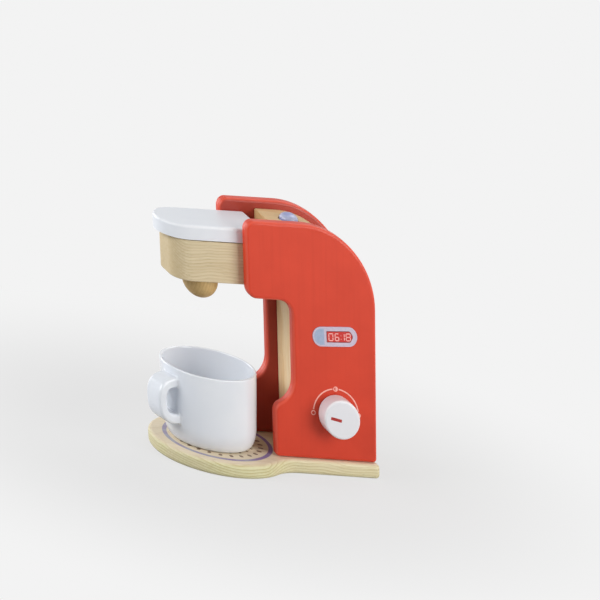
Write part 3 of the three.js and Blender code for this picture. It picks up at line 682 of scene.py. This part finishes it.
# %% Side boards
side_outline = rounded_outline([  # Y, Z and radius: toe, heel, crown, nose, under the nose, armpit, instep, foot
    (51.5, standing, 4), (167, standing, 4), (167, 250, 80), (23.6, 250, 10),
    (23.6, 174, 11), (73.5, 174, 14), (73.5, 79, 27), (51.5, 68, 11.5),
])
side_inner, side_outer, side_edge = 30, 42, 3.5
knob_y, knob_z, axle_hole = 120.25, 63.5, 4.4
for side, low, high in (("right_side", side_inner, side_outer), ("left_side", -side_outer, -side_inner)):
    piece = board(side + "_piece", side_outline, low, high, side_edge, lay=on_edge, steps=8)
    if side == "right_side":
        carve(piece, drill_bit(axle_hole, low - 2, high + 2, (knob_y, knob_z), on_edge))
    dress(piece, red_paint, "frame", "red_paint", side + "_board")

# %% [markdown]
# ## Column, rear board and top block
# Three plain boards close the body between the sides. The column stands behind the cup. The rear board bends
# round the back under the crown. On the real toy that curve is sawn from a thick plank, so its grain stays
# upright and doesn't follow the bend. The top block fills the space behind the lid and carries the button.

# %% Boards between the sides
core_half, core_top, sawn_edge = 29.7, 223.8, 0.4
column = board("column_piece", rectangle(-core_half, 84.8, core_half, 99.8, 1), standing, core_top, sawn_edge, steps=3)
dress(column, pine_wood, "frame", "pine_wood", "column_board")

crown_y, crown_z = 87, 170
outer_radius, inner_radius = 71.8, 61.8
diagonal = sqrt(0.5)
rear_outline = [
    (Vector((crown_y + inner_radius, standing)), Vector((-diagonal, -diagonal))),
    (Vector((crown_y + outer_radius, standing)), Vector((diagonal, -diagonal))),
    *arc_run(crown_y, crown_z, outer_radius, 0, asin((core_top - crown_z) / outer_radius), step=radians(3)),
    *arc_run(crown_y, crown_z, inner_radius, asin((core_top - crown_z) / inner_radius), 0, clockwise=True,
             step=radians(3)),
]
rear = board("rear_piece", rear_outline, -core_half, core_half, sawn_edge, lay=on_edge, steps=3)
dress(rear, pine_wood, "frame", "pine_wood", "rear_board")

button_y, bore_radius, spring_radius, socket_top = 88.6, 10.8, 14, 236.1
block_bottom, block_top, block_front, block_round = 224.1, 241.8, 62.6, 1.5
block_outline = [
    (Vector((block_front, block_bottom)), Vector((-diagonal, -diagonal))),
    *arc_run(crown_y, crown_z, outer_radius, asin((block_bottom - crown_z) / outer_radius), pi / 2, step=radians(3)),
    *arc_run(block_front + block_round, block_top - block_round, block_round, pi / 2, pi, step=radians(15)),
]
top_block = board("top_block_piece", block_outline, -core_half, core_half, sawn_edge, lay=on_edge, steps=3)
carve(top_block, drill_bit(bore_radius, 230, 244, (0, button_y)))
carve(top_block, drill_bit(spring_radius, 222, socket_top, (0, button_y)))
dress(top_block, top_wood, "frame", "pine_wood", "top_block")

# %% [markdown]
# ## The brewing head and its spout
# The head is one thick block, round at its front corners, glued between the noses of the sides. Under the
# lid it has a round well for a play coffee pad. The spout is a half ball from the lathe, doweled up into it.

# %% Head and spout
spout_y, head_bottom, head_front, head_back = -13, 183.8, -51.2, 84.5
head_outline = rounded_outline([
    (-core_half, head_front, 20), (core_half, head_front, 20), (core_half, head_back, 2), (-core_half, head_back, 2),
])
head = board("brew_head_piece", head_outline, head_bottom, core_top, 1.2, 0.6, steps=5)
well_floor, well_radius = 211.8, 20
well = [(0, well_floor), (well_radius - 1.5, well_floor), (well_radius - 0.4, well_floor + 0.4),
        (well_radius, well_floor + 1.5), (well_radius, core_top + 1.2), (0, core_top + 1.2)]
carve(head, turned("pad_well", well, 96, (0, spout_y, 0)))
dress(head, head_wood, "frame", "head_wood", "brew_head")

spout_radius, spout_centre, spout_top, spout_edge = 19.2, 179.3, 183.5, 0.4
ball = [(spout_radius * sin(t), spout_centre - spout_radius * cos(t)) for t in quarter_turn(30)]
ball += [(spout_radius, spout_top - spout_edge), (spout_radius - spout_edge, spout_top), (0, spout_top)]
spout = turned("spout_piece", ball, 96, (0, spout_y, 0))
dress(spout, spout_wood, "frame", "spout_wood", "spout")

# %% [markdown]
# ## The lid
# The lid is a board with a half-round front. Its top edge is rounded over, its lower edge stays crisp over
# the head, and its rear is round so that it can turn on a pin between the sides. A thicker slab with rounded
# edges is built first, and its side view is cut out of it.

# %% Lid
lid_bottom, lid_top, lid_edge = 224.6, 238.6, 3
lid_front, lid_back, lid_half, pin_hole = -61, 50.1, 29.4, 2.9
pivot_y, pivot_z = 43.1, 232.1
spare, cut_half = 6, 31  # how much the slab is too thick below, and how far the cutters reach to each side
lid_plan = rounded_outline([
    (-lid_half, lid_front, 28.9), (lid_half, lid_front, 28.9), (lid_half, lid_back, 4), (-lid_half, lid_back, 4),
])
lid = board("lid_piece", lid_plan, lid_bottom - spare, lid_top, lid_edge, steps=8)
lid_side = rounded_outline([
    (lid_front - spare, lid_bottom, 1), (lid_back, lid_bottom, 7), (lid_back, lid_top, 3),
    (lid_front - spare, lid_top, 1),
])
carve(lid, plate("lid_side_view", lid_side, -cut_half, cut_half), "INTERSECT")
carve(lid, drill_bit(pin_hole, -cut_half, cut_half, (pivot_y, pivot_z), on_edge))
dress(lid, lid_paint, "lid", "lid_paint", "lid")

# %% [markdown]
# ## The push button
# A turned button with a domed top sits in a wider hole, with a dark gap all round. It could be a squashed
# sphere, but a turned profile keeps the short straight collar that shows when it is pressed.

# %% Push button
button_radius, button_edge, dome_foot, dome_rise = 9.8, 0.4, 242.4, 6
profile = [(0, socket_top), (button_radius - button_edge, socket_top), (button_radius, socket_top + button_edge)]
profile += [(button_radius * cos(t), dome_foot + dome_rise * sin(t)) for t in quarter_turn(24)]
button = turned("push_button_piece", profile, 72, (0, button_y, 0))
dress(button, button_paint, "button", "button_paint", "push_button", crease=50)

# %% [markdown]
# ## The knob
# The knob is a thick plain disc, painted white, with a short dark-red dash from its middle outwards as a
# pointer. It could be turned on a lathe, but as a board with a round outline it gets its two different easings
# like all the other pieces.

# %% Knob
PRINT_DEPTH, PRINT_RISE = 0.1, 0.04
knob_low, knob_face, knob_radius, pocket_radius, pocket_end = 42.5, 60.5, 20.2, 4.2, 54.7
knob = board("knob_piece", circle(knob_y, knob_z, knob_radius, radians(2.5)), knob_low, knob_face, 1.2, 2.4,
             lay=on_edge, steps=8)
carve(knob, drill_bit(pocket_radius, knob_low - 2.5, pocket_end, (knob_y, knob_z), on_edge))
dress(knob, knob_paint, "knob", "knob_paint", "knob")


def turned_round(outline, degrees, centre):
    """An outline that was drawn round the origin, turned a little and put in its place."""
    turn = Matrix.Rotation(radians(degrees), 2)
    return [(centre + turn @ point, turn @ out) for point, out in outline]


dash_half, dash_half_width, dash_tilt, dash_centre = 6.2, 1.6, -11, Vector((knob_y - 7.2, knob_z + 0.3))
dash_outline = rectangle(-dash_half, -dash_half_width, dash_half, dash_half_width, 0.7)
dash_outline = turned_round(dash_outline, dash_tilt, dash_centre)
dash = plate("knob_pointer_print", dash_outline, knob_face - 0.2, knob_face + PRINT_RISE)
dress(dash, dash_ink, "knob", "knob_paint")

# %% [markdown]
# ## The dial behind the knob
# A thin arc with three small circles is printed on the side board: an empty one, a half-filled one and a full
# one, a plain scale from none to all. Each print is a very thin closed plate that stands 0.04 mm out of the
# paint, so it casts no shadow to speak of and still is real geometry.

# %% Dial
def add_ring(work, centre_u, centre_v, inner, outer, low, high, lay, steps=96, stretch=None):
    """Adds a flat ring. A stretch can give each direction its own share of the radius."""
    angles = [2 * pi * i / steps for i in range(steps)]
    shares = [stretch(a) if stretch else 1 for a in angles]
    rings = [[lay(centre_u + share * radius * cos(a), centre_v + share * radius * sin(a), height)
              for share, a in zip(shares, angles)]
             for radius, height in ((inner, low), (outer, low), (outer, high), (inner, high))]
    skin(work, rings, hoop=True)


dial_radius, line_half, mark_radius, mark_line, gap = 25.6, 0.65, 2.6, 0.95, radians(8)
hollow = mark_radius - mark_line
on_paint = (side_outer - PRINT_DEPTH, side_outer + PRINT_RISE, on_edge)
work = bmesh.new()
for start, end in ((pi / 2 + gap, pi - gap), (gap, pi / 2 - gap)):
    outline = arc_run(knob_y, knob_z, dial_radius + line_half, start, end, step=radians(3))
    outline += arc_run(knob_y, knob_z, dial_radius - line_half, end, start, clockwise=True, step=radians(3))
    add_plate(work, outline, *on_paint)
for turn, filled in ((pi, None), (pi / 2, (-pi / 2, pi / 2)), (0, (0, 2 * pi - 0.2))):
    mark = knob_y + dial_radius * cos(turn), knob_z + dial_radius * sin(turn)
    add_ring(work, *mark, hollow, mark_radius, *on_paint, steps=40)
    if filled:
        add_plate(work, arc_run(*mark, hollow, *filled, step=radians(12)), *on_paint)
dress(link_mesh("dial_print", work), dial_ink, "frame", "red_paint")

# %% [markdown]
# ## The display
# A pill-shaped film is stuck on the side board. It has a silver rim, a mottled blue-grey field and a red
# window with the four digits of a clock. The digits are built from up to seven bars each, as on a real
# display, so no font is needed and they stay sharp. The prints lie over each other like coats of ink, each a
# few hundredths of a millimetre above the one below.

# %% Display label
label_low, label_high = side_outer + 0.1, side_outer + 0.6
label_centre, label_tilt = Vector((knob_y, 142)), 2.6
print_foot = label_high - PRINT_DEPTH


def on_label(outline):
    """Places an outline that is drawn round the label's centre. The film is stuck on a little askew."""
    return turned_round(outline, label_tilt, label_centre)


def pill(grow, radius):
    """The label's outline, made larger or smaller."""
    across, high = 25 + grow, 9.9 + grow
    return on_label(rectangle(-across, -high, across, high, radius))


label = board("display_label_piece", pill(0, 9.8), label_low, label_high, 0.0, 0.2, lay=on_edge, steps=3)
dress(label, label_film, "frame", "label_film", "display_label")

work = bmesh.new()
outer_rim, inner_rim, rim_top = pill(-0.2, 9.6), pill(-1.7, 8.1), label_high + 0.04
corners = ((inner_rim, print_foot), (outer_rim, print_foot), (outer_rim, rim_top), (inner_rim, rim_top))
skin(work, [[on_edge(*point, height) for point, _ in outline] for outline, height in corners], hoop=True)
dress(link_mesh("display_rim_print", work), rim_ink, "frame", "label_film")

# %% Window
window_left, window_right, window_half, window_taper = -9.5, 20.6, 5.7, 3.5
surround_outline = on_label(rounded_outline([(-12, -8, 0.8), (23, -8, 7.6), (23, 8, 7.6), (-12, 8, 0.8)]))


def window_outline(inset):
    """The window: square at the left, tapered and rounded at the right."""
    left, right, high = window_left + inset, window_right - inset, window_half - inset
    return on_label(rounded_outline([
        (left, -high, 0.8), (right - window_taper, -high, 3), (right, 0, 3), (right - window_taper, high, 3),
        (left, high, 0.8),
    ]))


for name, outline, rise, ink in (
    ("window_surround_print", surround_outline, 0.02, rim_ink),
    ("window_edge_print", window_outline(0), 0.06, window_edge_ink),
    ("window_print", window_outline(0.8), 0.1, window_ink),
):
    dress(plate(name, outline, print_foot, label_high + rise), ink, "frame", "label_film")

# %% Digits of up to seven bars
SEGMENTS = {"0": "abcdef", "1": "bc", "6": "acdefg", "8": "abcdefg"}
bar, bar_gap, digit_middle, digit_half = 0.95, 0.12, -0.3, 3.9
digit_foot, digit_top, colon_top = label_high - 0.05, label_high + 0.14, label_high + 0.13


def add_bar(work, from_u, from_v, to_u, to_v):
    """One bar of a digit, pointed at both ends."""
    start, end = Vector((from_u, from_v)), Vector((to_u, to_v))
    ahead = (end - start).normalized()
    side = Vector((-ahead.y, ahead.x)) * bar / 2
    tip = ahead * bar / 2
    start, end = start + ahead * bar_gap, end - ahead * bar_gap
    points = [start, start + tip - side, end - tip - side, end, end - tip + side, start + tip + side]
    add_plate(work, on_label([(point, Vector((0, 0))) for point in points]), digit_foot, digit_top)


work = bmesh.new()
for digit, left, right in (("0", -7.4, -1.9), ("6", -0.3, 4.7), ("1", 5.6, 10.9), ("8", 12.0, 17.7)):
    u0, u1 = left + bar / 2, right - bar / 2
    v0, v1, v2 = (digit_middle + step * (digit_half - bar / 2) for step in (-1, 0, 1))
    ends = {"a": (u0, v2, u1, v2), "b": (u1, v1, u1, v2), "c": (u1, v0, u1, v1), "d": (u0, v0, u1, v0),
            "e": (u0, v0, u0, v1), "f": (u0, v1, u0, v2), "g": (u0, v1, u1, v1)}
    for segment in SEGMENTS[digit]:
        add_bar(work, *ends[segment])
dress(link_mesh("display_digits_print", work), digit_ink, "frame", "label_film")

work = bmesh.new()
dot_u, dot_half = 6.8, 0.6
for dot_v in (-2.3, 1.2):
    point = rectangle(dot_u - dot_half, dot_v - dot_half, dot_u + dot_half, dot_v + dot_half, dot_half / 2)
    add_plate(work, on_label(point), digit_foot, colon_top)
dress(link_mesh("display_colon_print", work), colon_ink, "frame", "label_film")

# %% [markdown]
# ## Printing on the tray
# A grey-violet ring and two rows of small oval spots show where the cup goes. The ring runs in under the body.

# %% Ring and spots
on_tray = (base_thickness - PRINT_DEPTH, base_thickness + PRINT_RISE, flat)


def tray_stretch(angle):
    """The print isn't quite round: it is a little longer towards the knob side of the front."""
    return 1 + 0.034 * cos(2 * angle + radians(47))


ring_inner, ring_outer = 56.8, 61.6
work = bmesh.new()
add_ring(work, 0, 0, ring_inner, ring_outer, *on_tray, steps=160, stretch=tray_stretch)
dress(link_mesh("tray_ring_print", work), ring_ink, "frame", "base_wood")

work = bmesh.new()
for middle, half_length, half_width, count, first_turn in ((48.2, 2.9, 2.0, 26, 9.6), (38.5, 1.9, 1.5, 20, 16)):
    for i in range(count):
        turn = radians(first_turn + 360 * i / count)
        here = middle * tray_stretch(turn)
        ray, side = Vector((cos(turn), sin(turn))), Vector((-sin(turn), cos(turn)))
        spot = rectangle(here - half_length, -half_width, here + half_length, half_width, half_width - 0.05)
        add_plate(work, [(ray * point.x + side * point.y, out) for point, out in spot], *on_tray)
dress(link_mesh("tray_spot_print", work), mark_ink, "frame", "base_wood")

# %% [markdown]
# ## The cup
# The cup is moulded in one piece: a nearly straight wall that draws in to its foot on a soft curve, and a
# wide flat strap for a handle. The wall comes from the lathe. The strap is swept along a squarish bow and
# grows a round fillet where it nears the wall, so joining the two with a boolean leaves no hard corner and no
# material inside the cup.

# %% Cup wall
cup_y = -7.8
rim_radius, foot_radius, cup_height, cup_wall, cup_floor = 51.7, 49.6, 78, 3, 4
foot_draw, foot_rise, foot_ring, foot_hollow, inner_draw, inner_rise = 9.5, 24, 3, 0.5, 9, 21


def wall_radius(height):
    """The outside radius of the cup's wall over the curve of its foot."""
    return foot_radius + (rim_radius - foot_radius) * height / cup_height


# from the middle of the foot round the rim to the middle of the floor
quarter = quarter_turn(18)
foot_r = wall_radius(foot_rise) - foot_draw
rim = cup_wall / 2
inner_z = cup_floor + inner_rise
inner_r = wall_radius(inner_z) - cup_wall - inner_draw
profile = [
    (0, foot_hollow), (foot_r - foot_ring - 1, foot_hollow), (foot_r - foot_ring, 0),
    *((foot_r + foot_draw * sin(t), foot_rise - foot_rise * cos(t)) for t in quarter),
    *((rim_radius - rim + rim * cos(2 * t), cup_height - rim + rim * sin(2 * t)) for t in quarter),
    *((inner_r + inner_draw * cos(t), inner_z - inner_rise * sin(t)) for t in quarter),
    (0, cup_floor),
]
cup = turned("cup_piece", profile, 144)
print("cup wall has", len(cup.data.polygons), "faces")

# %% Cup handle
handle_reach, handle_width, handle_thickness, handle_height, handle_bottom = 76.25, 24, 10.5, 48.5, 21
handle_round, handle_square, handle_turn, fillet, root_depth = 3.2, 0.7, radians(17 - 90), 2.0, 1.5
dense_steps, strap_steps = 1200, 96
bow_half = (handle_height - handle_thickness) / 2
bow_root = foot_radius - root_depth
bow_reach = handle_reach - handle_thickness / 2 - bow_root
bow_middle = handle_bottom + handle_height / 2

# the middle line of the strap, as (distance from the cup's axis, height): first dense, then evenly spaced
dense = []
for i in range(dense_steps + 1):
    turn = pi / 2 - pi * i / dense_steps
    out = abs(cos(turn)) ** handle_square
    rise = copysign(abs(sin(turn)) ** handle_square, turn)
    dense.append(Vector((bow_root + bow_reach * out, bow_middle + bow_half * rise)))
lengths = [0.0]
for here, there in zip(dense, dense[1:]):
    lengths.append(lengths[-1] + (there - here).length)
line, k = [], 0
for i in range(strap_steps + 1):
    goal = lengths[-1] * i / strap_steps
    while k < len(lengths) - 2 and lengths[k + 1] < goal:
        k += 1
    line.append(dense[k].lerp(dense[k + 1], (goal - lengths[k]) / (lengths[k + 1] - lengths[k])))

section = rectangle(-handle_width / 2, -handle_thickness / 2, handle_width / 2, handle_thickness / 2, handle_round)
rings = []
for i, point in enumerate(line):
    ahead = (line[min(i + 1, len(line) - 1)] - line[max(i - 1, 0)]).normalized()
    up = Vector((ahead.y, -ahead.x))
    ring = []
    for (across, thick), (out_across, out_thick) in section:
        place = point + up * thick
        distance = hypot(place.x, across) - wall_radius(place.y)
        near = min(max(fillet - distance, 0.0), fillet)
        flare = fillet - sqrt(fillet ** 2 - near ** 2)
        place = place + up * out_thick * flare
        side = across + out_across * flare
        if i in (0, len(line) - 1):
            place.x = sqrt((wall_radius(place.y) - cup_wall / 2) ** 2 - side ** 2)
        ring.append((place.x, side, place.y))
    rings.append(ring)
work = bmesh.new()
skin(work, rings)
bmesh.ops.rotate(work, cent=(0, 0, 0), matrix=Matrix.Rotation(handle_turn, 3, "Z"), verts=work.verts)
carve(cup, link_mesh("cup_handle", work), "UNION")
cup.data.transform(Matrix.Translation(Vector((0, cup_y, standing)) * MM))
dress(cup, cup_plastic, "cup", "cup_plastic", "cup", crease=40)

# %% [markdown]
# ## Hardware inside
# Dowels, screws, washers, the axle, the hinge pin and the spring keep their imported solids, because their
# shape is right and they hardly show. They get birch and zinc-plated steel. The spring gets a mesh of its own.

# %% Finish the hardware
for name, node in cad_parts.items():
    if node.hide_render:
        continue
    wooden = "dowel" in name or name == "knob_axle"
    node.data.materials.clear()
    node.data.materials.append(dowel_birch if wooden else steel)
    node.data.shade_smooth()
    node.data.set_sharp_from_angle(angle=radians(35))
    print(name, "in", "birch" if wooden else "steel")

# %% Spring under the button
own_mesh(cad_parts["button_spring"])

# %% [markdown]
# ## Measure and finish
# The dressed toy's box is measured over every shown mesh, leaving out the floor. The dressed toy may not be
# larger than the imported solids.

# %% Sizes
low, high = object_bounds()
